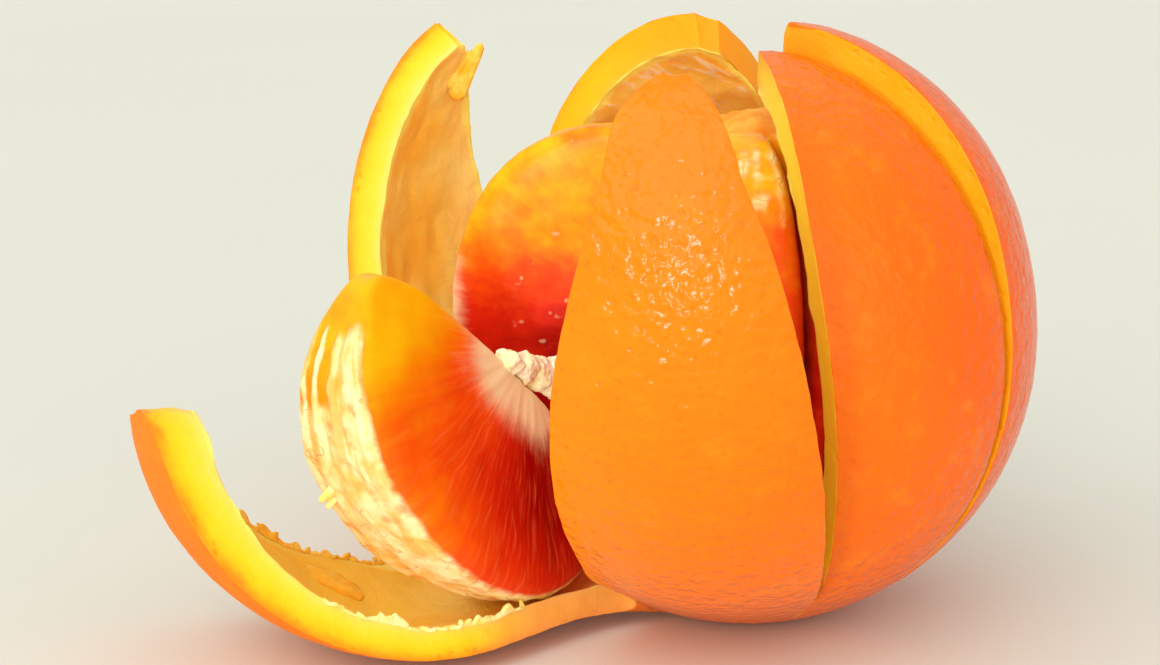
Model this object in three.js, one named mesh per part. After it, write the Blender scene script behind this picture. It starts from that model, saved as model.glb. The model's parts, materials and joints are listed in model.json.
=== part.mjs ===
// A partly peeled blood orange. Its peel is one piece, cut along meridians into petals that stay joined at
// the base, and holds the segments of the flesh. One segment is pulled out and leans on the petal that lies
// open. Millimetres, +Z up. The origin is the middle of the flat spot under the fruit, and the front is -Y.
import * as THREE from "three";

// The whole fruit
const FRUIT_RADIUS = 38;
const REST_SINK = 1; // how much of the round base is pressed flat where it rests
const HALF_TURN = Math.PI * FRUIT_RADIUS; // arc length from the base to the top

// The peel
const PEEL_THICKNESS = 5;
const BASE_EXTRA = 2; // the pith is thicker in the middle of the base
const BASE_EXTRA_REACH = 22;
const CUT_START = 18; // arc length from the base at which the cuts begin
const HINGE = [12, 34]; // arc lengths between which a petal bends open
const SLIDE = [45, 88]; // arc lengths between which a petal slides sideways and spreads
const FOOT = [18, 46]; // arc lengths between which a petal's foot passes into its own width
const TWIST_REACH = 100;
const THICKENING = 40; // arc length at which a thickened petal starts to thicken
const TIP_ROUNDING = 9; // length over which a petal narrows to its blunt tip
const TIP_SLANTING = 25; // length over which a slanted tip draws back
const CAP_ROWS = 5;
const PETAL_ROWS = 22;
const TIP_CROWDING = 0.06; // how much closer the rows lie near the tip
const LINE_STEPS = 600;
const COLUMN_ANGLE = 5; // degrees of a petal's width for each column of faces

// Each petal, in degrees: azimuth is anticlockwise from +X and half is half its width. open is the bend at
// the hinge, and uncurl the bend taken out from there to the tip, growing by a power that is 1 unless given.
// tip is the petal's share of the half turn, blunt the share of the width left at the tip, drift how far it
// slides round the fruit, spread how much half grows over the same length, foot what is added to half at the
// base on the clockwise and the other side, twist its turn about its own length, and flat the share of its
// crosswise curve that is pressed out. In mm, slant is how much shorter the clockwise corner of the tip is,
// thicker is added at the tip, torn is the pith missing all along it, and hollow what is missing as well
// along its middle. hinge and slide are the arc lengths used in place of HINGE and SLIDE.
const PETALS = [
  {
    azimuth: 200.5, half: 26, open: 70, uncurl: -11.5, power: 2.3, tip: 0.84, blunt: 0.45,
    hinge: [5, 43.5], flat: 0.3, thicker: 2.6, torn: 1.2, hollow: 1.5, foot: [0, -13], slant: 3.7,
  },
  {
    azimuth: 258.8, half: 24.8, open: 25, uncurl: 21.5, tip: 0.95, blunt: 0.75,
    drift: -2.2, slide: [88, 112], foot: [15, 4],
  },
  {
    azimuth: 305.2, half: 19.2, open: 0, uncurl: 0, tip: 0.96, blunt: 0.9,
    drift: -3.3, spread: 3.3, slide: [30, 90], foot: [-4, 0],
  },
  { azimuth: 3.8, half: 36.2, open: 6.3, uncurl: -4, power: 2.5, tip: 0.985, blunt: 0.8, hinge: [58, 78] },
  { azimuth: 81, half: 39, open: 20, uncurl: -3, tip: 0.965, blunt: 0.6, drift: 18, twist: -18 },
  { azimuth: 147, half: 25, open: 28.5, uncurl: 16.5, tip: 0.945, blunt: 0.35, drift: -3 },
];

// The segments: a rounded D seen from the side, swept round the fruit's axis
const SEGMENT_COUNT = 10;
const SEGMENT_RADIUS = 30.6;
const SEGMENT_GAP = 0.4; // between the faces of neighbours
const CORE_RADIUS = 2.5; // the hollow left by the pith in the middle
const BELLY_RADIUS = 9; // where a segment is tallest
const FACE_MIDDLE = 12; // radius at the middle of a flat face
const BACK_POWER = 2.15; // superellipse powers of the D's outer and inner parts
const CORE_POWER = 2.6;
const EDGE_ROUNDING = 2;
const EDGE_ANGLE = 5; // degrees over which the back rounds into the flat faces
const LOOP_POINTS = 24;
const SWEEP = [-1, -0.9, -0.72, -0.36, 0, 0.36, 0.72, 0.9, 1];
const FLESH_Z = FRUIT_RADIUS - REST_SINK;
const LOOSE_AZIMUTH = 228;
const LOOSE = { radius: 31.4, halfHeight: 27.6, lean: 47.4, toward: 224, place: [-30, -9.8, 37.5] };
const MISSING_AZIMUTH = 192; // the place next to the loose segment is empty
// How far a segment sits from its place in the fruit. By azimuth, one has slid out, with its neighbour.
const IN_PLACE = { out: 0, rise: 0, halfHeight: 28.2 };
const SHIFTED = {
  156: { out: 9.4, rise: 1.4, halfHeight: 25.4 },
  120: { out: 1.5, rise: 0.4, halfHeight: 27.6 },
};

const SKIN_COLOUR = 0xf58a0c;
const FLESH_COLOUR = 0xe04a12;

const radians = THREE.MathUtils.degToRad;
const smoothstep = THREE.MathUtils.smoothstep;
const clamp01 = (v) => THREE.MathUtils.clamp(v, 0, 1);

// The petal's middle line in its own upright plane: arc length to radius, height and slope.
function middleLine(petal) {
  const length = petal.tip * HALF_TURN;
  const [bendFrom, bendTo] = petal.hinge ?? HINGE;
  const slopeAt = (s) =>
    s / FRUIT_RADIUS -
    radians(petal.open) * smoothstep(s, bendFrom, bendTo) -
    radians(petal.uncurl) * clamp01((s - bendTo) / (length - bendTo)) ** (petal.power ?? 1);
  const table = [{ radius: 0, height: 0 }];
  const ds = length / LINE_STEPS;
  for (let i = 1; i <= LINE_STEPS; i++) {
    const slope = slopeAt((i - 0.5) * ds);
    const last = table[i - 1];
    table.push({ radius: last.radius + ds * Math.cos(slope), height: last.height + ds * Math.sin(slope) });
  }
  return (s) => {
    const step = Math.min(Math.floor(s / ds), LINE_STEPS - 1);
    const low = table[step];
    const high = table[step + 1];
    const f = s / ds - step;
    return {
      radius: low.radius + f * (high.radius - low.radius),
      height: low.height + f * (high.height - low.height),
      slope: slopeAt(s),
    };
  };
}

// A point of the peel: s along the petal from the base, side across it in radians, depth below the skin.
// With no bend it lies on the sphere, and with one the cross-section is carried along the middle line.
function peelPoint(petal, line, s, side, depth) {
  const { radius, height, slope } = line(s);
  const polar = s / FRUIT_RADIUS;
  const shell = FRUIT_RADIUS - depth;
  const curve = 1 - (petal.flat ?? 0);
  const fall = (Math.cos(side * curve) - 1) / curve;
  const along = shell * Math.sin(polar) * Math.cos(polar) * fall;
  const untwistedOut = shell * Math.sin(polar) ** 2 * fall;
  const untwistedAcross = (shell * Math.sin(polar) * Math.sin(side * curve)) / curve;
  const twist = radians(petal.twist ?? 0) * clamp01((s - HINGE[1]) / (TWIST_REACH - HINGE[1]));
  const out = untwistedOut * Math.cos(twist) - untwistedAcross * Math.sin(twist) - depth;
  const across = untwistedAcross * Math.cos(twist) + untwistedOut * Math.sin(twist);
  const reach = radius + along * Math.cos(slope) + out * Math.sin(slope);
  const rise = height + along * Math.sin(slope) - out * Math.cos(slope);
  const turn = radians(petal.azimuth + (petal.drift ?? 0) * smoothstep(s, ...(petal.slide ?? SLIDE)));
  return new THREE.Vector3(
    reach * Math.cos(turn) - across * Math.sin(turn),
    reach * Math.sin(turn) + across * Math.cos(turn),
    Math.max(rise - REST_SINK, 0),
  );
}

// The peel's thickness: more at the base and a thickened tip, less where pith is torn away.
function peelDepth(petal, s, acrossShare) {
  const atBase = BASE_EXTRA * (1 - smoothstep(s, 0, BASE_EXTRA_REACH));
  const atTip = (petal.thicker ?? 0) * smoothstep(s, THICKENING, petal.tip * HALF_TURN);
  const missing = (petal.torn ?? 0) + (petal.hollow ?? 0) * (1 - acrossShare ** 2);
  return PEEL_THICKNESS + atBase + atTip - missing * smoothstep(s, 0, CUT_START);
}

// The angle across the petal in radians at a share of its width, from -1 at its clockwise edge to 1 at the
// other. The width is full from the foot up to the tip's rounding, then narrows to the blunt end.
function sideAngle(petal, s, share) {
  const left = clamp01((petal.tip * HALF_TURN - s) / TIP_ROUNDING);
  const narrowing = petal.blunt + (1 - petal.blunt) * Math.sqrt(1 - (1 - left) ** 2);
  const spread = (petal.spread ?? 0) * smoothstep(s, ...(petal.slide ?? SLIDE));
  const [clockwise, anticlockwise] = petal.foot ?? [0, 0];
  const foot = (share < 0 ? clockwise : anticlockwise) * (1 - smoothstep(s, ...FOOT));
  return share * radians(petal.half + spread + foot) * narrowing;
}

// The arc length at a row of the petal, drawn back towards a slanted tip's clockwise corner.
function slanted(petal, s, share) {
  const length = petal.tip * HALF_TURN;
  const drawn = (petal.slant ?? 0) * Math.max(-share, 0);
  return s - drawn * smoothstep(s, length - TIP_SLANTING, length);
}

// Collects points and triangles of one closed mesh.
class Surface {
  constructor() {
    this.positions = [];
    this.triangles = [];
  }
  point(p) {
    this.positions.push(p.x, p.y, p.z);
    return this.positions.length / 3 - 1;
  }
  quad(a, b, c, d) {
    this.triangles.push(a, b, c, a, c, d);
  }
  geometry() {
    const made = new THREE.BufferGeometry();
    made.setAttribute("position", new THREE.Float32BufferAttribute(this.positions, 3));
    made.setIndex(this.triangles);
    made.computeVertexNormals();
    return made;
  }
}

function peelGeometry() {
  const surface = new Surface();
  const lines = PETALS.map(middleLine);
  const poles = [0, PEEL_THICKNESS + BASE_EXTRA].map((depth) =>
    surface.point(new THREE.Vector3(0, 0, Math.max(depth - REST_SINK, 0))),
  );
  const rowsOf = (petal) => {
    const capRows = Array.from({ length: CAP_ROWS }, (_, i) => ((i + 1) / CAP_ROWS) * CUT_START);
    const length = petal.tip * HALF_TURN - CUT_START;
    const petalRows = Array.from({ length: PETAL_ROWS }, (_, i) => {
      const t = (i + 1) / PETAL_ROWS;
      return CUT_START + length * (t - TIP_CROWDING * t * Math.sin(2 * Math.PI * t));
    });
    return [...capRows, ...petalRows];
  };
  // Each petal's point numbers by layer, row and column: layer 0 is the skin and layer 1 the inner face.
  const grids = PETALS.map((petal, i) => {
    const columns = Math.round((2 * petal.half) / COLUMN_ANGLE);
    return [0, 1].map((layer) =>
      rowsOf(petal).map((row) =>
        Array.from({ length: columns + 1 }, (_, c) => {
          const share = (2 * c) / columns - 1;
          const s = slanted(petal, row, share);
          const depth = layer * peelDepth(petal, s, share);
          return surface.point(peelPoint(petal, lines[i], s, sideAngle(petal, s, share), depth));
        }),
      ),
    );
  });
  grids.forEach(([skin, inner], i) => {
    const lastColumn = skin[0].length - 1;
    for (let r = 0; r + 1 < skin.length; r++) {
      for (let c = 0; c < lastColumn; c++) {
        surface.quad(skin[r][c], skin[r][c + 1], skin[r + 1][c + 1], skin[r + 1][c]);
        surface.quad(inner[r][c], inner[r + 1][c], inner[r + 1][c + 1], inner[r][c + 1]);
      }
      if (r + 1 >= CAP_ROWS) {
        surface.quad(skin[r][0], skin[r + 1][0], inner[r + 1][0], inner[r][0]);
        const e = lastColumn;
        surface.quad(skin[r][e], inner[r][e], inner[r + 1][e], skin[r + 1][e]);
      }
    }
    const top = skin.length - 1;
    for (let c = 0; c < lastColumn; c++) {
      surface.quad(skin[top][c], skin[top][c + 1], inner[top][c + 1], inner[top][c]);
      surface.triangles.push(poles[0], skin[0][c + 1], skin[0][c]);
      surface.triangles.push(poles[1], inner[0][c], inner[0][c + 1]);
    }
    // The uncut strip of the cap between this petal and the next, and the bottom of the cut
    const [nextSkin, nextInner] = grids[(i + 1) % grids.length];
    for (let r = 0; r + 1 < CAP_ROWS; r++) {
      surface.quad(skin[r][lastColumn], nextSkin[r][0], nextSkin[r + 1][0], skin[r + 1][lastColumn]);
      surface.quad(inner[r][lastColumn], inner[r + 1][lastColumn], nextInner[r + 1][0], nextInner[r][0]);
    }
    const b = CAP_ROWS - 1;
    surface.quad(skin[b][lastColumn], nextSkin[b][0], nextInner[b][0], inner[b][lastColumn]);
    surface.triangles.push(poles[0], nextSkin[0][0], skin[0][lastColumn]);
    surface.triangles.push(poles[1], inner[0][lastColumn], nextInner[0][0]);
  });
  return surface.geometry();
}

// The D of a segment's flat face as [radius from the axis, height], inset by some millimetres all round.
function segmentLoop(outerRadius, halfHeight, inset) {
  return Array.from({ length: LOOP_POINTS }, (_, i) => {
    const turn = (2 * Math.PI * i) / LOOP_POINTS;
    const cos = Math.cos(turn);
    const sin = Math.sin(turn);
    const power = 2 / (cos >= 0 ? BACK_POWER : CORE_POWER);
    const reach = cos >= 0 ? outerRadius - BELLY_RADIUS : BELLY_RADIUS - CORE_RADIUS;
    const shrink = cos >= 0 ? inset : inset / 2;
    const radius = BELLY_RADIUS + (reach - shrink) * Math.sign(cos) * Math.abs(cos) ** power;
    const height = (halfHeight - inset) * Math.sign(sin) * Math.abs(sin) ** power;
    return [radius, height];
  });
}

// A segment about the origin, its back towards +X and its core edge along Z.
function segmentGeometry(outerRadius, halfHeight) {
  const surface = new Surface();
  const halfAngle = 180 / SEGMENT_COUNT;
  const clearance = SEGMENT_GAP / 2 / Math.sin(radians(halfAngle));
  const place = (radius, height, angle) =>
    new THREE.Vector3(clearance + radius * Math.cos(angle), radius * Math.sin(angle), height);
  const loops = SWEEP.map((share) => {
    const past = clamp01((Math.abs(share) * halfAngle - (halfAngle - EDGE_ANGLE)) / EDGE_ANGLE);
    const inset = EDGE_ROUNDING * (1 - Math.sqrt(1 - past ** 2));
    const angle = radians(share * halfAngle);
    return segmentLoop(outerRadius, halfHeight, inset).map(([r, h]) => surface.point(place(r, h, angle)));
  });
  for (let k = 0; k + 1 < loops.length; k++) {
    for (let i = 0; i < LOOP_POINTS; i++) {
      const j = (i + 1) % LOOP_POINTS;
      surface.quad(loops[k][i], loops[k + 1][i], loops[k + 1][j], loops[k][j]);
    }
  }
  // The flat faces: a half-size ring, then a fan
  for (const end of [0, loops.length - 1]) {
    const angle = radians(SWEEP[end] * halfAngle);
    const middle = surface.point(place(FACE_MIDDLE, 0, angle));
    const ring = segmentLoop(outerRadius, halfHeight, EDGE_ROUNDING).map(([r, h]) =>
      surface.point(place((r + FACE_MIDDLE) / 2, h / 2, angle)),
    );
    for (let i = 0; i < LOOP_POINTS; i++) {
      const j = (i + 1) % LOOP_POINTS;
      if (end === 0) {
        surface.quad(loops[end][i], loops[end][j], ring[j], ring[i]);
        surface.triangles.push(ring[i], ring[j], middle);
      } else {
        surface.quad(loops[end][j], loops[end][i], ring[i], ring[j]);
        surface.triangles.push(ring[j], ring[i], middle);
      }
    }
  }
  return surface.geometry();
}

const orange = new THREE.Group();

const skin = new THREE.MeshStandardMaterial({ color: SKIN_COLOUR, roughness: 0.45, metalness: 0 });
const peel = new THREE.Mesh(peelGeometry(), skin);
peel.name = "peel";
orange.add(peel);

const flesh = new THREE.MeshStandardMaterial({ color: FLESH_COLOUR, roughness: 0.3, metalness: 0 });
for (let i = 1; i < SEGMENT_COUNT; i++) {
  const azimuth = (LOOSE_AZIMUTH + (i * 360) / SEGMENT_COUNT) % 360;
  if (azimuth === MISSING_AZIMUTH) continue;
  const { out, rise, halfHeight } = SHIFTED[azimuth] ?? IN_PLACE;
  const segment = new THREE.Mesh(segmentGeometry(SEGMENT_RADIUS, halfHeight), flesh);
  segment.name = `segment_${i}`;
  segment.rotation.z = radians(azimuth);
  segment.position.set(out * Math.cos(radians(azimuth)), out * Math.sin(radians(azimuth)), FLESH_Z + rise);
  orange.add(segment);
}

const loose = new THREE.Mesh(segmentGeometry(LOOSE.radius, LOOSE.halfHeight), flesh);
loose.name = "loose_segment";
const leanAxis = new THREE.Vector3(-Math.sin(radians(LOOSE.toward)), Math.cos(radians(LOOSE.toward)), 0);
const turned = new THREE.Quaternion().setFromAxisAngle(new THREE.Vector3(0, 0, 1), radians(LOOSE_AZIMUTH));
loose.quaternion.setFromAxisAngle(leanAxis, radians(LOOSE.lean)).multiply(turned);
loose.position.set(...LOOSE.place);
orange.add(loose);

export default orange;
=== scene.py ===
"""A partly peeled blood orange: its peel is cut into petals that stand and fall open round the flesh.

One segment leans out, loose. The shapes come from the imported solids, refined into rind, pith, membrane
and juice sacs, in metres.
"""

import json
import math

import bpy
import numpy as np
from mathutils import Matrix, Quaternion, Vector, noise
from mathutils.bvhtree import BVHTree

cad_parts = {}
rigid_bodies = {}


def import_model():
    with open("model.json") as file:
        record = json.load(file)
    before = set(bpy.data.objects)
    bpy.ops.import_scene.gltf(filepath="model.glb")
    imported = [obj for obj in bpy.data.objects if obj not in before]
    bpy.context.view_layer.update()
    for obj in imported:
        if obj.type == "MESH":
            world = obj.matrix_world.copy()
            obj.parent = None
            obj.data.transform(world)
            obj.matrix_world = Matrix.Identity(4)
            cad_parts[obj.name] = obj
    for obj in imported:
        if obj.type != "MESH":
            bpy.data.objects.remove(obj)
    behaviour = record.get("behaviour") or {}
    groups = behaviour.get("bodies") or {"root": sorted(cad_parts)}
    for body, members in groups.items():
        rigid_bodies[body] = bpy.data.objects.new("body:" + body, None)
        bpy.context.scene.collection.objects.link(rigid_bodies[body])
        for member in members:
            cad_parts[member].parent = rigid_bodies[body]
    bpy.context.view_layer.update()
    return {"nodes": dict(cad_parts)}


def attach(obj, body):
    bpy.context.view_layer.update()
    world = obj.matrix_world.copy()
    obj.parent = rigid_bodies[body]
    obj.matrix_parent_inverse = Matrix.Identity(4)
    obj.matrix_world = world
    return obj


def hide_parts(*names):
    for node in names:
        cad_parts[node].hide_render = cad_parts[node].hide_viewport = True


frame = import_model()

MM = 0.001

# The fruit's own measures, as the solids have them. A segment begins at the radius CORE and is tallest at
# the radius BELLY.
FLESH_CENTRE = 37 * MM
PEEL_RADIUS = 38 * MM
SEGMENT_HALF_ANGLE = math.radians(18)
SEGMENT_CLEARANCE = 0.2 * MM / math.sin(SEGMENT_HALF_ANGLE)
BELLY = 9 * MM
CORE = 2.5 * MM

# The segments of the ball, a tenth of a turn apart. The last two have slid outwards. Angles are in
# degrees and lengths in millimetres.
BALL_SEGMENTS = {}
for number in range(1, 9):
    azimuth = (228 + 36 * number) % 360
    BALL_SEGMENTS[f"segment_{number}"] = {
        "azimuth": azimuth, "out": 0, "rise": 0, "radius": 30.6, "half_height": 28.2,
    }
BALL_SEGMENTS["segment_7"].update(out=1.5, rise=0.4, half_height=27.6)
BALL_SEGMENTS["segment_8"].update(out=9.4, rise=1.4, half_height=25.4)

# The loose segment leans over, and "toward" is the azimuth it leans to.
LOOSE = {"azimuth": 228, "toward": 224, "lean": 47.4, "radius": 31.4, "half_height": 27.6}
LOOSE_PLACE = Vector((-30, -9.8, 37.5)) * MM


def colour(red, green, blue):
    """A linear colour from the 0 to 255 values seen on a screen."""
    shares = (v / 255 for v in (red, green, blue))
    linear = [s / 12.92 if s <= 0.04045 else ((s + 0.055) / 1.055) ** 2.4 for s in shares]
    return (*linear, 1.0)


class Wire:
    """A socket of a finish, with the maths of its values written as Python operators."""

    def __init__(self, finish, socket):
        self.finish = finish
        self.socket = socket

    def maths(self, operation, *values):
        return self.finish.node("ShaderNodeMath", {"operation": operation}, dict(enumerate(values)))

    def __add__(self, other):
        return self.maths("ADD", self, other)

    def __radd__(self, other):
        return self.maths("ADD", other, self)

    def __sub__(self, other):
        return self.maths("SUBTRACT", self, other)

    def __rsub__(self, other):
        return self.maths("SUBTRACT", other, self)

    def __mul__(self, other):
        return self.maths("MULTIPLY", self, other)

    def __rmul__(self, other):
        return self.maths("MULTIPLY", other, self)

    def __abs__(self):
        return self.maths("ABSOLUTE", self)


class Finish:
    """One material of the fruit, built node by node."""

    def __init__(self, name):
        self.material = bpy.data.materials.new(name)
        self.material.use_nodes = True
        self.tree = self.material.node_tree
        self.tree.nodes.clear()

    def node(self, kind, settings=None, sockets=None, output=0):
        """Adds a node, sets it up, then fills or links its sockets, and gives one of its outputs."""
        made = self.tree.nodes.new(kind)
        for key, value in (settings or {}).items():
            if key == "stops":
                self.set_stops(made.color_ramp, value)
            else:
                setattr(made, key, value)
        for key, value in (sockets or {}).items():
            if isinstance(value, Wire):
                self.tree.links.new(value.socket, made.inputs[key])
            else:
                made.inputs[key].default_value = value
        return Wire(self, made.outputs[output]) if made.outputs else None

    @staticmethod
    def set_stops(ramp, stops):
        while len(ramp.elements) < len(stops):
            ramp.elements.new(1.0)
        for element, (place, tint) in zip(ramp.elements, stops):
            element.position = place
            element.color = tint

    def place(self):
        return self.node("ShaderNodeTexCoord", output="Object")

    def attribute(self, name, output="Fac"):
        return self.node("ShaderNodeAttribute", {"attribute_name": name}, output=output)

    def parts(self, vector):
        return [self.node("ShaderNodeSeparateXYZ", None, {0: vector}, axis) for axis in range(3)]

    def join(self, x, y, z):
        return self.node("ShaderNodeCombineXYZ", None, {0: x, 1: y, 2: z})

    def noise(self, vector, scale, detail=2.0, roughness=0.5, distortion=0.0):
        sockets = {"Vector": vector, "Scale": scale, "Detail": detail}
        sockets.update({"Roughness": roughness, "Distortion": distortion})
        return self.node("ShaderNodeTexNoise", None, sockets)

    def cells(self, vector, scale, output="Distance"):
        return self.node("ShaderNodeTexVoronoi", None, {"Vector": vector, "Scale": scale}, output)

    def step(self, value, low, high):
        """Rises smoothly from 0 at low to 1 at high, or falls where low is the larger."""
        sockets = {"Value": value, "From Min": low, "From Max": high}
        return self.node("ShaderNodeMapRange", {"interpolation_type": "SMOOTHSTEP"}, sockets)

    def mix(self, share, first, second):
        """The first colour where share is 0 and the second where it is 1."""
        return self.node("ShaderNodeMix", {"data_type": "RGBA"}, {0: share, 6: first, 7: second}, 2)

    def ramp(self, value, stops):
        return self.node("ShaderNodeValToRGB", {"stops": stops}, {"Fac": value})

    def bump(self, height, strength, distance, below=None):
        sockets = {"Height": height, "Strength": strength, "Distance": distance}
        if below is not None:
            sockets["Normal"] = below
        return self.node("ShaderNodeBump", None, sockets)

    def surface(self, sockets):
        shader = self.node("ShaderNodeBsdfPrincipled", None, sockets)
        self.node("ShaderNodeOutputMaterial", None, {"Surface": shader})
        return self.material


def rind_skin():
    """Waxy orange rind with pores and a fine pebbling, deeper in colour and freckled on the right."""
    f = Finish("rind_skin")
    place = f.place()
    x = f.parts(place)[0]
    patches = f.noise(place, 34, 3.0)
    mottle = f.noise(place, 240, 3.0, 0.6)
    pebbles = f.noise(place, 650, 1.5)
    pores = f.step(f.cells(place, 620), 0.3, 0.05)
    blush = f.step(x + (patches - 0.5) * (25 * MM), -30 * MM, 36 * MM)
    light = f.mix(f.step(patches, 0.35, 0.68), colour(255, 128, 1), colour(255, 136, 3))
    deep = f.mix(f.step(patches, 0.35, 0.68), colour(248, 96, 2), colour(252, 106, 3))
    base = f.mix(blush, light, deep)
    base = f.mix(f.step(mottle, 0.5, 0.8) * 0.25, base, colour(255, 160, 20))
    base = f.mix(pores * 0.25, base, colour(222, 88, 1))
    dots = f.cells(place, 300)
    chance = f.parts(f.cells(place, 300, output="Color"))[0]
    freckles = f.step(dots, 0.2, 0.08) * f.step(chance, 0.74, 0.78) * f.step(x, 16 * MM, 34 * MM)
    base = f.mix(freckles * 0.55, base, colour(170, 76, 10))
    relief = f.bump(pebbles, 1.0, 0.5 * MM)
    relief = f.bump(mottle - pores * 0.3, 0.4, 0.3 * MM, relief)
    dull = f.step(x, -40 * MM, -54 * MM)
    return f.surface({
        "Base Color": base,
        "Roughness": 0.17 + mottle * 0.06 + dull * 0.5,
        "Specular IOR Level": 0.2,
        "Normal": relief,
        "Subsurface Weight": 0.06,
        "Subsurface Radius": (1.0, 0.4, 0.1),
        "Subsurface Scale": 2 * MM,
    })


# The right rear petal's tip, whose cut is painted orange as painted shade cast by the front right petal.
SHADED_CUT_TIP = (4.8 * MM, 0.3 * MM, 75.4 * MM)


def rind_cut():
    """The cut face of the rind: an orange line of oil glands under the skin, then yellow, paler inwards."""
    f = Finish("rind_cut")
    place = f.place()
    depth = f.attribute("depth")
    grain = f.noise(place, 480, 4.0, 0.6)
    blotch = f.noise(place, 150, 2.0)
    shifted = depth + (grain - 0.5) * 0.2 + (blotch - 0.5) * 0.3
    base = f.ramp(shifted, [
        (0.0, colour(248, 138, 6)),
        (0.1, colour(252, 164, 6)),
        (0.24, colour(254, 192, 8)),
        (0.45, colour(255, 207, 22)),
        (0.75, colour(254, 213, 56)),
        (1.0, colour(252, 217, 102)),
    ])
    glands = f.step(f.cells(place, 560), 0.36, 0.14) * f.step(depth, 0.04, 0.1) * f.step(depth, 0.3, 0.16)
    base = f.mix(glands * 0.55, base, colour(238, 150, 4))

    # The petals' cuts differ: the back ones are deeper, the back end orange, the right one and its tip
    # orange with painted shade cast by the front right petal, the one beside the front slit brighter with
    # painted light, and the one at the fallen petal's root stained by juice.
    x, y, z = f.parts(place)
    back = f.step(y, -12 * MM, 4 * MM) * f.step(x, -34 * MM, -26 * MM)
    base = f.mix(back * 0.75, base, colour(252, 186, 4))
    # Around the right rear tip the cut is painted orange as painted shade from the front right petal before
    # it.
    from_tip = f.node("ShaderNodeVectorMath", {"operation": "DISTANCE"}, {0: place, 1: SHADED_CUT_TIP}, "Value")
    base = f.mix(f.step(from_tip, 11 * MM, 3 * MM) * 0.8, base, colour(248, 146, 14))
    back_end = f.step(x, -5.5 * MM, -3.5 * MM) * f.step(x, 12 * MM, 9 * MM) * f.step(y, 12 * MM, 16 * MM)
    base = f.mix(back_end * 0.7, base, colour(246, 152, 26))
    aside = x + y * 0.5
    # The right rear petal's cut is painted orange as painted shade cast by the front right petal.
    base = f.mix(f.step(aside, -2 * MM, 6 * MM) * 0.8, base, colour(250, 160, 4))
    # The cut beside the front slit is painted brighter as painted light, lifting the shade the front petal
    # casts on it.
    slit_painted_light = f.step(x, -4 * MM, 2 * MM) * f.step(aside, 0.0, -6 * MM)
    base = f.mix(slit_painted_light * 0.75, base, colour(255, 226, 60))
    stained = f.step(x, -37 * MM, -26 * MM) * f.step(z, 16 * MM, 9 * MM)
    base = f.mix(stained * 0.75, base, colour(252, 168, 88))
    relief = f.bump(grain - glands * 0.5, 0.5, 0.4 * MM)
    return f.surface({
        "Base Color": base,
        "Roughness": 0.48,
        "Specular IOR Level": 0.2,
        "Normal": relief,
        "Subsurface Weight": 0.3,
        "Subsurface Radius": (1.0, 0.7, 0.2),
        "Subsurface Scale": 3 * MM,
    })


def rind_inside():
    """The pith that lines the peel: soft and peach, with pale fibres high at the back and ragged rims."""
    f = Finish("rind_inside")
    place = f.place()
    x, y, z = f.parts(place)
    lumps = f.noise(place, 105, 3.0, 0.5)
    threads = f.noise(place, 210, 5.0, 0.65, 1.4)
    strands = f.noise(f.join(x * 130, y * 130, z * 420 + x * 160), 1.0, 4.0, 0.6, 0.6)
    base = f.ramp(lumps, [
        (0.32, colour(255, 184, 52)),
        (0.5, colour(255, 202, 76)),
        (0.7, colour(255, 220, 110)),
    ])
    base = f.mix(f.step(threads, 0.56, 0.72) * 0.35, base, colour(255, 226, 140))
    fallen = f.step(x, -36 * MM, -46 * MM) * f.step(y, 4 * MM, -4 * MM)
    base = f.mix(fallen * 0.75, base, colour(255, 206, 54))
    far_edge = f.step(x, -43 * MM, -36 * MM) * f.step(y, 18 * MM, 24 * MM) * f.step(x, -26 * MM, -32 * MM)
    base = f.mix(far_edge * 0.5, base, colour(255, 230, 148))
    fibrous = f.step(y, 12 * MM, 28 * MM) * f.step(z, 50 * MM, 62 * MM) * f.step(x, -30 * MM, -20 * MM)
    base = f.mix(f.step(strands, 0.52, 0.64) * fibrous * 0.9, base, colour(255, 238, 196))
    stained = f.step(z, 16 * MM, 7 * MM) * f.step(x, -34 * MM, -26 * MM)
    base = f.mix(stained * 0.6, base, colour(252, 150, 92))
    from_rim = f.attribute("rim") + (lumps - 0.5) * (6 * MM) + (threads - 0.5) * (2 * MM)
    base = f.mix(f.step(from_rim, 1.6 * MM, 0.6 * MM), base, colour(255, 236, 110))
    relief = f.bump(lumps + threads * 0.5 + strands * fibrous * 0.6, 0.7, 0.8 * MM)
    return f.surface({
        "Base Color": base,
        "Roughness": 0.6,
        "Specular IOR Level": 0.2,
        "Normal": relief,
        "Subsurface Weight": 0.3,
        "Subsurface Radius": (1.0, 0.6, 0.25),
        "Subsurface Scale": 2 * MM,
    })


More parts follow.
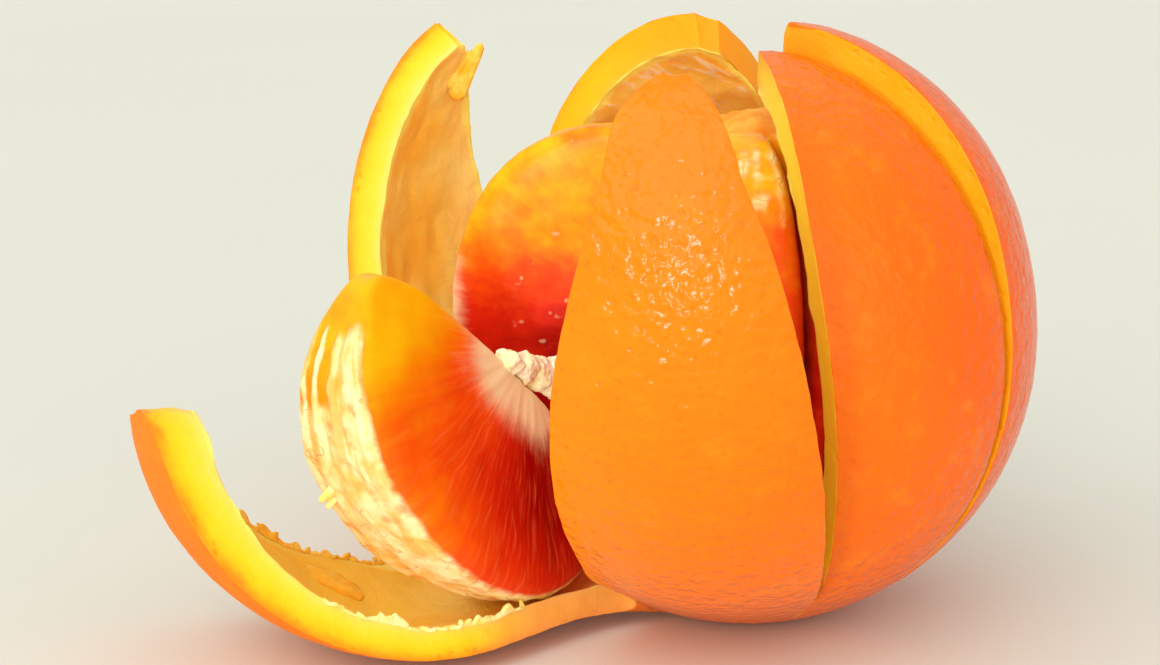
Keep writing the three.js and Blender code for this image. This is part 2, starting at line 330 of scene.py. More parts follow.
def flesh():
    """A segment: fans of juice sacs under a moist membrane, red where ripest and darker red low down as
    painted shade, with pith on its back.
    """
    f = Finish("flesh")
    place = f.place()
    fan, reach, turn = f.parts(f.attribute("sacs", "Vector"))
    clouds = f.noise(place, 130, 3.0, 0.55)
    streaks = f.noise(f.join(fan * 15, reach * 3.0, turn), 1.0, 3.0, 0.6)
    wander = f.noise(f.join(fan * 3, reach * 2.0, turn), 1.0, 2.0)
    broken = f.noise(f.join(fan * 11, reach * 6, turn), 1.0, 1.0)
    hairy = f.attribute("hairs")
    blotches = f.noise(place, 300, 3.0, 0.6)
    # The ripeness also carries painted shade, so the segments are painted darker red low down where shade
    # falls.
    ripe = f.attribute("ripe") + 0.26 * (clouds - 0.5) + 0.16 * (streaks - 0.5)
    ripe = ripe + 0.34 * (blotches - 0.5) * (1 - hairy)
    base = f.ramp(ripe, [
        (0.06, colour(255, 190, 12)),
        (0.24, colour(255, 142, 8)),
        (0.42, colour(248, 84, 12)),
        (0.62, colour(218, 38, 10)),
        (0.88, colour(164, 8, 4)),
    ])
    hairs = f.node("ShaderNodeMath", {"operation": "PINGPONG"}, {0: fan * 13 + wander * 4, 1: 0.5})
    lines = hairy * f.step(hairs, 0.17, 0.0) * f.step(broken, 0.4, 0.66) * f.step(ripe, 0.26, 0.42)
    base = f.mix(lines * 0.22, base, colour(252, 150, 84))
    fibres = f.step(f.noise(f.join(fan * 46, reach * 7, turn), 1.0, 2.0), 0.5, 0.72)
    fibres = fibres * f.step(ripe, 0.3, 0.5)
    base = f.mix(fibres * hairy * 0.28, base, colour(250, 120, 52))

    # Peach fibres are left along the core, and cream pith with tan flecks and creases on the back, the
    # creases darkened with painted shade.
    patches = f.noise(place, 230, 4.0, 0.6)
    tufts = f.noise(f.join(fan * 34, reach * 9, turn), 1.0, 3.0, 0.6)
    frost = f.step(f.attribute("frost") + (tufts - 0.5) * 0.5 + (patches - 0.5) * 0.5, 0.08, 1.0)
    base = f.mix(frost, base, colour(255, 230, 180))
    flecks = f.step(f.cells(place, 300), 0.36, 0.1) * f.step(f.noise(place, 120), 0.4, 0.52)
    stripes = f.step(f.noise(f.join(turn * 7, fan * 1.6, reach * 2), 1.0, 2.0), 0.46, 0.6)
    shaded_creases = f.step(abs(f.noise(place, 260, 1.0) - 0.5), 0.014, 0.004)
    shaded_creases = shaded_creases * f.step(f.noise(place, 150), 0.5, 0.56)
    cream = f.mix(f.step(patches, 0.36, 0.62), colour(248, 200, 108), colour(255, 238, 180))
    cream = f.mix(stripes * f.step(fan, 0.2, 0.75) * 0.7, cream, colour(244, 178, 84))
    cream = f.mix(flecks * 0.7, cream, colour(238, 156, 86))
    cream = f.mix(shaded_creases * 0.6, cream, colour(214, 160, 84))
    cover = f.step(f.attribute("pith") + (patches - 0.5) * 0.6, 0.26, 0.7)
    base = f.mix(cover, base, cream)

    # Beads of juice stand here and there on the segments of the ball, raised by bump and painted pale as
    # painted glints.
    glint_beads = f.step(f.noise(place, 560, 1.0), 0.7, 0.78)
    glint_beads = glint_beads * f.step(f.noise(place, 110), 0.5, 0.58) * (1 - hairy)
    base = f.mix(glint_beads * 0.5, base, colour(255, 226, 180))
    relief = f.bump(streaks * hairy * 0.5 + clouds * 0.4 + glint_beads * 1.5, 0.25, 0.6 * MM)
    relief = f.bump(patches * cover - shaded_creases * cover * 0.5, 0.6, 0.6 * MM, relief)
    return f.surface({
        "Base Color": base,
        "Roughness": 0.3 + cover * 0.3 + frost * 0.25,
        "Specular IOR Level": 0.1,
        "Normal": relief,
        "Subsurface Weight": 0.35,
        "Subsurface Radius": (1.0, 0.35, 0.12),
        "Subsurface Scale": 4 * MM,
    })


def torn_pith(name, dark, pale):
    """Pith torn into tufts and lumps, between two colours."""
    f = Finish(name)
    lumps = f.noise(f.place(), 420, 4.0, 0.6)
    return f.surface({
        "Base Color": f.mix(f.step(lumps, 0.35, 0.65), dark, pale),
        "Roughness": 0.65,
        "Specular IOR Level": 0.2,
        "Normal": f.bump(lumps, 0.7, 0.5 * MM),
        "Subsurface Weight": 0.2,
        "Subsurface Radius": (1.0, 0.8, 0.6),
        "Subsurface Scale": MM,
    })


def table_top():
    """The pale surface under the fruit."""
    f = Finish("table_top")
    clouds = f.noise(f.place(), 3, 2.0)
    base = f.mix(f.step(clouds, 0.3, 0.7), colour(222, 224, 211), colour(225, 226, 214))
    return f.surface({"Base Color": base, "Roughness": 0.75})


def work_on(piece):
    bpy.ops.object.select_all(action="DESELECT")
    piece.select_set(True)
    bpy.context.view_layer.objects.active = piece


def merged_copy(node, name):
    """A copy of a solid's mesh with its loose triangles merged into a closed surface of quads."""
    mesh = frame["nodes"][node].data.copy()
    mesh.materials.clear()
    piece = bpy.data.objects.new(name, mesh)
    mesh.name = name
    bpy.context.scene.collection.objects.link(piece)
    work_on(piece)
    bpy.ops.object.mode_set(mode="EDIT")
    bpy.ops.mesh.customdata_custom_splitnormals_clear()
    bpy.ops.mesh.select_all(action="SELECT")
    bpy.ops.mesh.remove_doubles(threshold=2e-6)
    bpy.ops.mesh.tris_convert_to_quads(face_threshold=math.radians(40), shape_threshold=math.radians(60))
    bpy.ops.object.mode_set(mode="OBJECT")
    return piece


def subdivide(piece, levels):
    work_on(piece)
    rounds = piece.modifiers.new("rounding", "SUBSURF")
    rounds.levels = levels
    rounds.render_levels = levels
    bpy.ops.object.modifier_apply(modifier=rounds.name)


def roughen(piece, group, size, strength):
    """Lumps of that size over a vertex group, raised and sunk by up to about half the strength."""
    work_on(piece)
    lumps = bpy.data.textures.new("lumps", "CLOUDS")
    lumps.noise_scale = size
    lumps.noise_depth = 2
    raised = piece.modifiers.new("lumps", "DISPLACE")
    raised.texture = lumps
    raised.texture_coords = "LOCAL"
    raised.vertex_group = group
    raised.mid_level = 0.5
    raised.strength = strength
    bpy.ops.object.modifier_apply(modifier=raised.name)


def soften(piece, repeat):
    """Wears the whole piece's edges rounder."""
    work_on(piece)
    bpy.ops.object.mode_set(mode="EDIT")
    bpy.ops.mesh.select_all(action="SELECT")
    bpy.ops.mesh.vertices_smooth(factor=0.5, repeat=repeat)
    bpy.ops.object.mode_set(mode="OBJECT")


def vertices_of(piece):
    found = np.empty(len(piece.data.vertices) * 3, np.float32)
    piece.data.vertices.foreach_get("co", found)
    return found.reshape(-1, 3)


def normals_of(piece):
    found = np.empty(len(piece.data.vertices) * 3, np.float32)
    piece.data.vertex_normals.foreach_get("vector", found)
    return found.reshape(-1, 3)


def set_vertices(piece, places):
    piece.data.vertices.foreach_set("co", np.asarray(places, np.float32).ravel())
    piece.data.update()


def set_attribute(piece, name, values):
    kind = "FLOAT_VECTOR" if np.ndim(values) == 2 else "FLOAT"
    key = "vector" if kind == "FLOAT_VECTOR" else "value"
    made = piece.data.attributes.new(name, kind, "POINT")
    made.data.foreach_set(key, np.asarray(values, np.float32).ravel())


def finish_piece(piece, slot, *nodes):
    work_on(piece)
    bpy.ops.object.shade_smooth()
    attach(piece, "root")
    if nodes:
        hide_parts(*nodes)


def smooth(value, low, high):
    share = np.clip((np.asarray(value, float) - low) / (high - low), 0, 1)
    return share * share * (3 - 2 * share)


# The numbers of the peel's materials.
SKIN, CUT, INSIDE = range(3)

# Each petal's tip: its middle in millimetres, its azimuth in degrees, how many millimetres of its end are
# rounded, by what share it spreads, and how often it is smoothed.
TIPS = (
    ((-73, -27, 34), 200.5, 0, 0, 12),
    ((-11, -47, 75.5), 258.8, 3.2, 0.28, 24),
    ((2.4, -4, 72), 305.2, 0, 0, 12),
    ((4.8, 0.3, 75.4), 3.8, 0, 0, 80),
    ((-4, 26, 73.5), 81, 0, 0, 12),
    ((-40, 29, 73), 147, 4, 0, 12),
)


def materials_beside(piece):
    """For each edge, the material numbers of the faces beside it."""
    beside = {}
    for face in piece.data.polygons:
        for key in face.edge_keys:
            beside.setdefault(key, []).append(face.material_index)
    return [beside[edge.key] for edge in piece.data.edges]


def tip_corners(piece):
    """The edges at a petal's tip where the end meets a side, across the thickness of the rind."""
    found = []
    for edge, beside in zip(piece.data.edges, materials_beside(piece)):
        start, end = (piece.data.vertices[v].co for v in edge.vertices)
        middle = (start + end) / 2
        near_tip = any((middle - Vector(tip[0]) * MM).length < 9 * MM for tip in TIPS)
        if edge.use_seam and near_tip and set(beside) == {CUT} and (end - start).length > 3 * MM:
            found.append(edge.index)
    return found


def rims(piece):
    return [i for i, beside in enumerate(materials_beside(piece)) if len(set(beside)) > 1]


def bevel_edges(piece, edges, width, segments):
    work_on(piece)
    bpy.ops.object.mode_set(mode="EDIT")
    bpy.ops.mesh.select_mode(type="EDGE")
    bpy.ops.mesh.select_all(action="DESELECT")
    bpy.ops.object.mode_set(mode="OBJECT")
    for index in edges:
        piece.data.edges[index].select = True
    bpy.ops.object.mode_set(mode="EDIT")
    bpy.ops.mesh.bevel(offset=width, segments=segments, profile=0.5, affect="EDGES", clamp_overlap=True)
    bpy.ops.object.mode_set(mode="OBJECT")


def round_tips(piece):
    """Spreads and rounds the ends of the tips that are to be blunt, then smooths every tip."""
    reach = 14 * MM
    for at, azimuth, length, spread, wear in TIPS:
        places = vertices_of(piece).astype(float)
        middle = np.array(at) * MM
        gap = np.linalg.norm(places - middle, axis=1)
        if length:
            near = gap < reach
            along = places[gap < 4 * MM].mean(0) - places[near].mean(0)
            along = along / np.linalg.norm(along)
            turn = math.radians(azimuth)
            across = np.array([-math.sin(turn), math.cos(turn), 0])
            across = across - along * across.dot(along)
            across = across / np.linalg.norm(across)
            ahead = (places - middle) @ along
            aside = (places - middle) @ across
            end = ahead[near].max()
            share = np.clip((ahead - end + length * MM) / (length * MM), 0, 0.96)
            centre = aside[near & (share > 0.3)].mean()
            wider = 1 + spread * (gap < 22 * MM) * smooth(ahead - end, -reach, -2 * MM)
            kept = wider * np.where(near, (1 - share**3) ** 0.42, 1)
            set_vertices(piece, places + ((aside - centre) * (kept - 1))[:, None] * across)
        work_on(piece)
        piece.data.vertices.foreach_set("select", gap < 5 * MM)
        bpy.ops.object.mode_set(mode="EDIT")
        bpy.ops.mesh.select_mode(type="VERT")
        bpy.ops.mesh.vertices_smooth(factor=0.5, repeat=wear)
        bpy.ops.mesh.select_all(action="DESELECT")
        bpy.ops.object.mode_set(mode="OBJECT")


def make_peel():
    peel = merged_copy("peel", "orange_peel")
    for material in (rind_skin(), rind_cut(), rind_inside()):
        peel.data.materials.append(material)
    for face in peel.data.polygons:
        face.material_index = CUT

    # The skin and the lining are what the sharp cut edges leave joined to the middle of the base.
    bpy.ops.object.mode_set(mode="EDIT")
    bpy.ops.mesh.select_all(action="DESELECT")
    bpy.ops.mesh.select_mode(type="EDGE")
    bpy.ops.mesh.edges_select_sharp(sharpness=math.radians(48))
    bpy.ops.mesh.mark_seam(clear=False)
    bpy.ops.mesh.select_mode(type="FACE")
    for index, start in ((SKIN, Vector((0, 0, 0))), (INSIDE, Vector((0, 0, 6 * MM)))):
        bpy.ops.mesh.select_all(action="DESELECT")
        bpy.ops.object.mode_set(mode="OBJECT")
        nearest = min(peel.data.polygons, key=lambda face: (face.center - start).length)
        nearest.select = True
        bpy.ops.object.mode_set(mode="EDIT")
        bpy.ops.mesh.select_linked(delimit={"SEAM"})
        peel.active_material_index = index
        bpy.ops.object.material_slot_assign()

    # The corners of the petals' tips are rounded, then the rims of the cuts.
    bpy.ops.object.mode_set(mode="OBJECT")
    bevel_edges(peel, tip_corners(peel), 2.0 * MM, 4)
    bevel_edges(peel, rims(peel), 0.45 * MM, 2)
    subdivide(peel, 2)
    round_tips(peel)

    for index, group in ((SKIN, "skin"), (CUT, "cut"), (INSIDE, "inside")):
        bpy.ops.object.mode_set(mode="EDIT")
        bpy.ops.mesh.select_all(action="DESELECT")
        peel.active_material_index = index
        bpy.ops.object.material_slot_select()
        bpy.ops.object.vertex_group_add()
        peel.vertex_groups.active.name = group
        bpy.ops.object.vertex_group_assign()
        bpy.ops.object.mode_set(mode="OBJECT")
    roughen(peel, "skin", 2.6 * MM, 0.2 * MM)
    roughen(peel, "cut", 3.0 * MM, 0.4 * MM)
    roughen(peel, "inside", 5.0 * MM, 1.2 * MM)

    places = vertices_of(peel)
    gaps = []
    for index in (SKIN, INSIDE, CUT):
        faces = [tuple(face.vertices) for face in peel.data.polygons if face.material_index == index]
        tree = BVHTree.FromPolygons([Vector(p) for p in places], faces)
        gaps.append(np.array([tree.find_nearest(Vector(p))[3] for p in places]))
    set_attribute(peel, "depth", gaps[0] / np.maximum(gaps[0] + gaps[1], 1e-9))
    set_attribute(peel, "rim", gaps[2])
    finish_piece(peel, "peel", "peel")
    return peel


def segment_frame(facts):
    """A matrix from a segment's own axes, x out from the core and z along it, to the fruit's."""
    turn = math.radians(facts["azimuth"])
    if "lean" in facts:
        toward = math.radians(facts["toward"])
        tip = Quaternion((-math.sin(toward), math.cos(toward), 0), math.radians(facts["lean"]))
        turned = (tip @ Quaternion((0, 0, 1), turn)).to_matrix().to_4x4()
        return Matrix.Translation(LOOSE_PLACE) @ turned
    out = Vector((math.cos(turn), math.sin(turn), 0)) * facts["out"] * MM
    place = out + Vector((0, 0, FLESH_CENTRE + facts["rise"] * MM))
    return Matrix.Translation(place) @ Matrix.Rotation(turn, 4, "Z")


def lie_in(places, facts):
    """Each point's place in a segment: its radius and height in shares of the segment's, its share of the
    half angle, and its loop, which is 1 on the outer skin and less over the flat faces."""
    inverse = np.array(segment_frame(facts).inverted())
    local = places @ inverse[:3, :3].T + inverse[:3, 3]
    local[:, 0] -= SEGMENT_CLEARANCE
    across = np.arctan2(local[:, 1], local[:, 0]) / SEGMENT_HALF_ANGLE
    radius = np.hypot(local[:, 0], local[:, 1])
    outer = facts["radius"] * MM
    height = facts["half_height"] * MM
    behind = radius >= BELLY
    span = np.where(behind, outer - BELLY, BELLY - CORE)
    power = np.where(behind, 2.15, 2.6)
    inner_share = np.abs(radius - BELLY) / span
    loop = (inner_share**power + np.abs(local[:, 2] / height) ** power) ** (1 / power)
    return radius / outer, local[:, 2] / height, across, loop


def noise_at(places, size, shift=0.0):
    """Soft noise from -1 to 1 at each place, with lumps of that size."""
    offset = Vector((shift, shift * 0.7, -shift))
    return np.array([noise.noise(Vector(p) / size + offset) for p in places])


# The pith on the loose segment's back stands in ridges along it: their shares of the half angle and widths.
RIDGES = ((0.66, 0.2), (0.12, 0.1), (-0.36, 0.1), (-0.72, 0.12), (-1.0, 0.15))


def loose_looks(places, radius, height, turn, on_back, bulge, fine):
    """How far the loose segment's back rises, and its ripeness with painted shade, pith and frost of
    fibres.

    Radius, height and rise are in millimetres.
    """
    wander = 0.2 * noise_at(np.stack([height / 9, height * 0, height * 0], 1), 1.0, 5.0)
    wander = wander + 0.1 * noise_at(places, 3 * MM, 3.0)
    ridge = np.max([np.exp(-(((turn - at + wander) / width) ** 2)) for at, width in RIDGES], axis=0)
    covered = on_back * smooth(radius + 2 * bulge, 13, 18)
    bare = smooth(radius, 27, 20) * smooth(turn, 0.5, -0.2) * (1 - ridge)
    pith = covered * (0.85 + 0.3 * ridge - 0.95 * bare + 0.35 * bulge + 0.25 * fine)
    moves = covered * (0.45 * ridge + 0.35 * bulge + 0.25 * fine)

    # The face runs from yellow at the upper end to dark red by the core at the lower end, paler at the rim.
    along = height - 0.5 * radius
    ripe = 0.08 + 0.3 * smooth(along, 16, 3) + 0.019 * np.clip(2 - along, 0, 23)
    ripe = ripe + 0.12 * on_back * smooth(along, 6, 16)
    ripe = ripe - 0.3 * smooth(radius, 17, 29) * smooth(along, 2, -10)
    ripe = ripe + 0.3 * smooth(radius, 19, 10) * smooth(height, -2, -12)
    frost = smooth(radius, 13, 3) * smooth(height, -14, -8) * smooth(height, 13, 0)
    edge = smooth(radius, 6, 3) * smooth(height, 18, 8) * smooth(height, -2, 2)
    return moves, ripe, pith, np.clip(np.maximum(1.35 * frost, 0.45 * edge), 0, 1)


def make_segment(node, facts, finish, levels):
    """A segment with bulging sacs on its faces and its own ripeness and pith."""
    piece = merged_copy(node, node + "_flesh")
    piece.data.materials.append(finish)
    subdivide(piece, levels)
    soften(piece, 120 if node == "loose_segment" else 16)
    places = vertices_of(piece)
    reach, high, turn, loop = lie_in(places, facts)
    fan = np.arctan2(high * facts["half_height"] + 3, reach * facts["radius"] + 2)
    bulge = noise_at(places, 5 * MM, facts["azimuth"])
    fine = noise_at(places, 1.6 * MM, facts["azimuth"])
    sacs = noise_at(np.stack([fan * 7, reach * 2.5, turn], 1), 1.0, facts["azimuth"])
    on_back = smooth(loop, 0.93, 1.0) * smooth(reach, 0.25, 0.42)
    height = high * facts["half_height"]
    frost = np.zeros(len(places))

    if node == "loose_segment":
        radius = reach * facts["radius"]
        moves, ripe, pith, frost = loose_looks(places, radius, height, turn, on_back, bulge, fine)
    elif node == "segment_8":
        pith = on_back * smooth(height, 12, 2) * (0.45 + 0.3 * bulge + 0.2 * fine)
        moves = on_back * 0.2 * fine
        # Its face runs from yellow at the top to dark red low down: deeper colour and painted shade
        # together.
        ripe = np.maximum(0.62 - 0.036 * height + 0.08 * bulge, 0.17 + 0.05 * bulge)
        frost = 0.6 * smooth(reach, 0.86, 0.98) * smooth(height, 13, 4)
    else:
        strands = noise_at(np.stack([turn * 5, height / 7, reach], 1), 1.0, 9.0)
        near_top = smooth(height, 16, 21) * smooth(height, 28, 25.5)
        pith = on_back * near_top * (0.46 + 0.5 * strands + 0.3 * fine)
        moves = on_back * (0.2 * fine + 0.3 * pith)
        # The lower parts are painted darker red: deeper colour and painted shade together.
        ripe = 0.14 + 0.26 * smooth(height, 25, 14) + 0.012 * np.clip(14 - height, 0, 20)

    plump = 1.0 if node == "loose_segment" else 0.4
    moves = moves + (1 - on_back) * plump * (0.22 * bulge + 0.16 * sacs)
    set_vertices(piece, places + normals_of(piece) * (moves * MM)[:, None])
    set_attribute(piece, "sacs", np.stack([fan, reach, turn + facts["azimuth"]], 1))
    set_attribute(piece, "ripe", ripe)
    set_attribute(piece, "pith", pith)
    set_attribute(piece, "frost", frost)
    set_attribute(piece, "hairs", np.full(len(places), 1.0 if node == "loose_segment" else 0.0))
    finish_piece(piece, "flesh", node)


def make_tuft():
    """A torn shred one unit long, standing on the origin, to be copied."""
    bpy.ops.object.select_all(action="DESELECT")
    bpy.ops.mesh.primitive_cone_add(vertices=8, radius1=0.5, radius2=0.24, depth=1, location=(0, 0, 0.5))
    tuft = bpy.context.active_object
    bpy.ops.object.mode_set(mode="EDIT")
    bpy.ops.mesh.select_all(action="SELECT")
    bpy.ops.mesh.subdivide(number_cuts=2, fractal=1.2, fractal_along_normal=0.4, seed=4)
    bpy.ops.object.mode_set(mode="OBJECT")
    bpy.ops.object.transform_apply(location=True)
    return tuft


def make_lump():
    """A lump one unit across each way from its middle, to be copied."""
    bpy.ops.object.select_all(action="DESELECT")
    bpy.ops.mesh.primitive_ico_sphere_add(subdivisions=3, radius=1)
    lump = bpy.context.active_object
    bpy.ops.object.mode_set(mode="EDIT")
    bpy.ops.mesh.select_all(action="SELECT")
    bpy.ops.transform.vertex_random(offset=0.11, seed=7)
    bpy.ops.object.mode_set(mode="OBJECT")
    return lump


def stand(root, tip, width, thickness, roll=0.0):
    """A matrix that stands a shred from root to tip, all in millimetres."""
    along = Vector(tip) - Vector(root)
    turned = along.to_track_quat("Z", "X").to_matrix().to_4x4() @ Matrix.Rotation(roll, 4, "Z")
    size = Matrix.Diagonal((width, thickness, along.length, 1))
    return Matrix.Scale(MM, 4) @ Matrix.Translation(Vector(root)) @ turned @ size


def copies_of(pattern, name, finish, slot, matrices):
    """One piece of many copies of a pattern, rounded once."""
    made = []
    for matrix in matrices:
        mesh = pattern.data.copy()
        mesh.transform(matrix)
        copy = bpy.data.objects.new(name, mesh)
        bpy.context.scene.collection.objects.link(copy)
        made.append(copy)
    bpy.ops.object.select_all(action="DESELECT")
    for copy in made:
        copy.select_set(True)
    bpy.context.view_layer.objects.active = made[0]
    bpy.ops.object.join()
    piece = bpy.context.view_layer.objects.active
    piece.name = name
    piece.data.materials.clear()
    piece.data.materials.append(finish)
    subdivide(piece, 1)
    finish_piece(piece, slot)
    return piece


def ragged_strip(name, finish, slot, path, rise, heights, seed, ragged=0.5):
    """A torn strip that stands on a path, as tall as its heights allow and ragged along its free edge."""
    bpy.ops.object.select_all(action="DESELECT")
    bpy.ops.mesh.primitive_grid_add(x_subdivisions=150, y_subdivisions=5, size=2)
    strip = bpy.context.active_object
    strip.name = name
    grid = vertices_of(strip)
    share = (grid[:, 0] + 1) / 2
    up = (grid[:, 1] + 1) / 2
    stations = np.linspace(0, 1, len(path))
    root = np.stack([np.interp(share, stations, path[:, axis]) for axis in range(3)], 1)
    still = np.zeros(len(share))
    along = share * np.linalg.norm(np.diff(path, axis=0), axis=1).sum()
    teeth = 0.55 + 0.8 * noise_at(np.stack([along / 1.7, still, still], 1), 1.0, seed)
    teeth = teeth + ragged * noise_at(np.stack([along / 0.6, still, still], 1), 1.0, seed + 3)
    tall = np.interp(share, stations, heights) * np.clip(teeth, 0.05, 1.5)
    sway = noise_at(np.stack([along / 1.2, up * 1.1, still], 1), 1.0, seed + 7) * up
    course = np.gradient(path, axis=0).mean(0)
    aside = np.cross(course / np.linalg.norm(course), rise)
    places = root + np.outer(tall * up - 0.3, rise) + np.outer(sway * 0.9, aside)
    set_vertices(strip, places * MM)
    work_on(strip)
    body = strip.modifiers.new("body", "SOLIDIFY")
    body.thickness = 0.6 * MM
    body.offset = 0
    bpy.ops.object.modifier_apply(modifier=body.name)
    subdivide(strip, 1)
    strip.data.materials.append(finish)
    finish_piece(strip, slot)


# The fallen petal's own directions: along it from the base, and across it towards its near edge.
FALLEN_ALONG = Vector((-0.9367, -0.3502, 0))
FALLEN_ACROSS = Vector((0.3502, -0.9367, 0))


def fallen_rim(peel, side, start, end):
    """A path along one edge of the fallen petal's lining, from start to end, all in millimetres.

    Returns the distances along the petal and the points there.
    """
    lining = set()
    cuts = set()
    for face in peel.data.polygons:
        if face.material_index == INSIDE:
            lining.update(face.vertices)
        elif face.material_index == CUT:
            cuts.update(face.vertices)
    found = []
    for index in lining & cuts:
        point = peel.data.vertices[index].co / MM
        along = point.dot(FALLEN_ALONG)
        across = side * point.dot(FALLEN_ACROSS)
        on_petal = 6 < across < 26 and point.z < 40
        if on_petal and start - 1 < along < end + 1:
            found.append((along, *point))
    found = np.array(sorted(found))
    wanted = np.arange(start, end, 0.6)
    path = [found[np.abs(found[:, 0] - along).argsort()[:6], 1:].mean(0) for along in wanted]
    return wanted, np.array(path)


def bumps_at(wanted, middles):
    """Heights along a path that swell at each middle, which is a distance along it and a height."""
    return np.max([tall * np.exp(-(((wanted - at) / (0.7 * tall)) ** 2)) for at, tall in middles], axis=0)


# The bunches of shreds on the fallen petal's near edge: how far along it and how tall, in millimetres.
BUNCHES = (
    (60.2, 1.6), (57, 0.8), (53.4, 2.6), (48.4, 1.2),
    (44.6, 2.8), (42, 2.2), (37.6, 2.4), (34.4, 1.6),
)


def make_shreds(peel):
    """The torn shreds on the fallen petal's edges, the back left tip and the loose segment's back."""
    pale = torn_pith("shred_pale", colour(254, 222, 96), colour(255, 240, 168))
    golden = torn_pith("shred_golden", colour(254, 190, 36), colour(255, 222, 100))
    wanted, path = fallen_rim(peel, 1, 33, 63)
    rise = np.array((-0.05, 0.25, 0.97))
    ragged_strip("near_rim_shreds", pale, "peel", path, rise, bumps_at(wanted, BUNCHES), 2.0)
    wanted, path = fallen_rim(peel, -1, 44, 70)
    rise = np.array((-0.1, 0.4, 0.9))
    ragged_strip("far_rim_shreds", golden, "peel", path, rise, np.full(len(wanted), 1.5), 5.0)

    tuft = make_tuft()
    tongue = [
        stand((-39.5, 31.5, 63.6), (-35.3, 30.5, 71.9), 3.0, 1.6, 0.3),
        stand((-40, 31.5, 65), (-36.8, 31, 70.8), 2.6, 1.6, 0.2),
    ]
    copies_of(tuft, "tip_spike", golden, "peel", tongue)
    hang = [
        stand((-51, -28.4, 24.4), (-53.4, -30.4, 22.6), 2.0, 1.2),
        stand((-51, -28, 23.6), (-52.6, -29.2, 21.4), 1.6, 0.9, 0.8),
    ]
    copies_of(tuft, "segment_tag", pale, "flesh", hang)
    bpy.data.objects.remove(tuft)


def make_pith():
    """Lumps of pith: a fold in the fallen petal's lining, the loose segment's core and the ball's top."""
    lump = make_lump()
    orange = torn_pith("shred_orange", colour(255, 186, 36), colour(255, 206, 76))
    fold = Vector((-59, -6.8, 7.2)) - Vector((-50.4, -10.8, 4.3))
    turned = fold.to_track_quat("X", "Z").to_matrix().to_4x4()
    size = Matrix.Diagonal((5.6 * MM, 1.9 * MM, 1.3 * MM, 1))
    tear = Matrix.Translation(Vector((-54.7, -8.8, 5.75)) * MM) @ turned @ size
    crumpled = copies_of(lump, "lining_flap", orange, "peel", [tear])
    roughen(crumpled, "", 2 * MM, 1.0 * MM)

    stands = segment_frame(LOOSE) @ Matrix.Scale(MM, 4)
    heap = []
    for number in range(5):
        middle = Vector((2.2 - 0.9 * number, 0.3 * math.sin(number * 3), -0.6 - 2.6 * number))
        size = Matrix.Diagonal((1.6 + 0.35 * number, 2.0, 2.2 + 0.2 * number, 1))
        heap.append(stands @ Matrix.Translation(middle) @ size)
    white = torn_pith("core_pith", colour(255, 242, 184), colour(255, 250, 218))
    shaggy = copies_of(lump, "loose_core_pith", white, "flesh", heap)
    subdivide(shaggy, 1)
    roughen(shaggy, "", 1.5 * MM, 1.1 * MM)

    peach = torn_pith("crown_pith", colour(252, 150, 22), colour(255, 184, 66))
    size = Matrix.Diagonal((14 * MM, 13 * MM, 6.4 * MM, 1))
    crown = Matrix.Translation(Vector((4.5, 3, 60.2)) * MM) @ size
    dome = copies_of(lump, "crown_pith", peach, "flesh", [crown])
    subdivide(dome, 1)
    roughen(dome, "", 4 * MM, 1.5 * MM)
    bpy.data.objects.remove(lump)


def make_table():
    bpy.ops.object.select_all(action="DESELECT")
    bpy.ops.mesh.primitive_plane_add(size=6, location=(0, 0, 0))
    table = bpy.context.active_object
    table.name = "table"
    table.data.materials.append(table_top())


# The photograph's size, and the middle and radius of the peel's round outline in it, in pixels.
IMAGE = (1160, 665)
BALL_AT = (745, 333)
BALL_PIXELS = 291
SENSOR_WIDTH = 36
CAMERA_DISTANCE = 355 * MM
CAMERA_ELEVATION = math.radians(12.3)


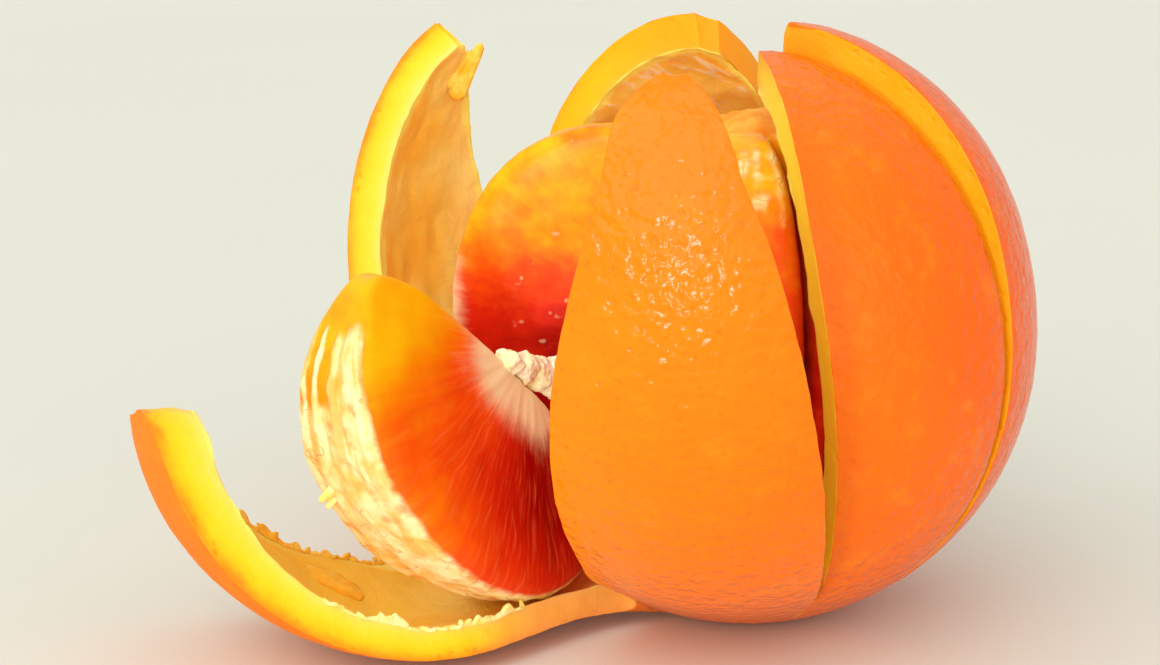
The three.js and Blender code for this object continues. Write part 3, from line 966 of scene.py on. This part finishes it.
def make_camera():
    """A camera that shows the fruit's ball at the size and place it has in the photograph."""
    focal = BALL_PIXELS * math.sqrt(CAMERA_DISTANCE**2 - PEEL_RADIUS**2) / PEEL_RADIUS
    ahead = Vector((0, math.cos(CAMERA_ELEVATION), -math.sin(CAMERA_ELEVATION)))
    right = Vector((1, 0, 0))
    up = right.cross(ahead)
    sideways = (BALL_AT[0] - IMAGE[0] / 2) / focal * CAMERA_DISTANCE
    upwards = (BALL_AT[1] - IMAGE[1] / 2) / focal * CAMERA_DISTANCE
    lens = bpy.data.cameras.new("camera")
    lens.sensor_width = SENSOR_WIDTH
    lens.lens = focal / IMAGE[0] * SENSOR_WIDTH
    lens.clip_start = 0.01
    lens.clip_end = 20
    camera = bpy.data.objects.new("camera", lens)
    bpy.context.scene.collection.objects.link(camera)
    middle = Vector((0, 0, FLESH_CENTRE))
    camera.location = middle - ahead * CAMERA_DISTANCE - right * sideways + up * upwards
    camera.rotation_mode = "QUATERNION"
    camera.rotation_quaternion = ahead.to_track_quat("-Z", "Y")
    bpy.context.scene.camera = camera


def hang_light(name, kind, place, settings):
    """A light aimed at the fruit."""
    bulb = bpy.data.lights.new(name, kind)
    for key, value in settings.items():
        setattr(bulb, key, value)
    light = bpy.data.objects.new(name, bulb)
    bpy.context.scene.collection.objects.link(light)
    light.location = place
    light.rotation_mode = "QUATERNION"
    light.rotation_quaternion = (Vector((0, 0, FLESH_CENTRE)) - light.location).to_track_quat("-Z", "Y")


def make_lights():
    warm = (1.0, 0.98, 0.95)
    window = {"energy": 1.08, "angle": math.radians(50), "color": warm}
    hang_light("window", "SUN", Vector((-0.4, -0.7, 0.6)), window)
    fill = {"energy": 0.6, "angle": math.radians(60), "color": warm}
    hang_light("fill", "SUN", Vector((0.45, -0.85, 0.5)), fill)
    overhead = {"energy": 0.62, "angle": math.radians(110), "color": warm}
    hang_light("overhead", "SUN", Vector((-0.45, 0.05, 1.0)), overhead)
    lamp = {"energy": 0.18, "shape": "DISK", "size": 0.09, "spread": math.radians(60), "color": warm}
    hang_light("lamp", "AREA", Vector((-0.25, -0.76, 0.08)), lamp)
    world = bpy.data.worlds.new("studio")
    bpy.context.scene.world = world
    world.use_nodes = True
    sky = world.node_tree.nodes["Background"]
    sky.inputs["Color"].default_value = (1.0, 0.99, 0.96, 1)
    sky.inputs["Strength"].default_value = 0.64
    bpy.context.scene.view_settings.view_transform = "Standard"


make_shreds(make_peel())
make_pith()
segment_finish = flesh()
make_segment("loose_segment", LOOSE, segment_finish, 4)
for node, facts in BALL_SEGMENTS.items():
    make_segment(node, facts, segment_finish, 3)
make_table()
make_camera()
make_lights()
